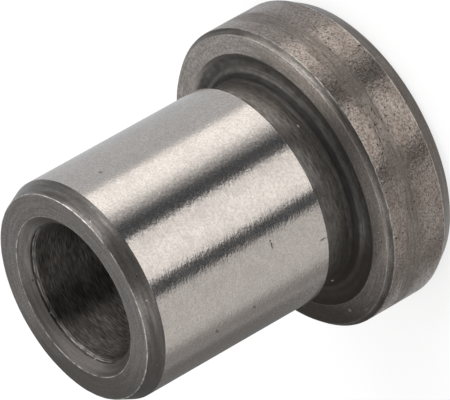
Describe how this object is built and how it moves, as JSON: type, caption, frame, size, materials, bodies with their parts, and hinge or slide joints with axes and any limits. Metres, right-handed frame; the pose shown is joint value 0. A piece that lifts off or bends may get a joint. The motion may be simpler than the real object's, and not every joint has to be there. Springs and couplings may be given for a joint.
{
  "type": "flanged bushing",
  "caption": "Turned and ground steel bushing with a plain bore, a thick round head and an undercut under it, for pressing into a plate.",
  "frame": {"origin": "centre of the head's flat outer face, on the axis of the bore; the bushing stands on that face", "axes": "+Z along the axis, from the head towards the open end of the shank; X and Y are any two directions across, since the part is round"},
  "size_m": [0.022, 0.022, 0.024],
  "materials": {
    "hardened_steel": "ground bright on the shank and the seat, dark from hardening elsewhere"
  },
  "bodies": {
    "root": {"flanged_bushing": "hardened_steel"}
  },
  "joints": []
}
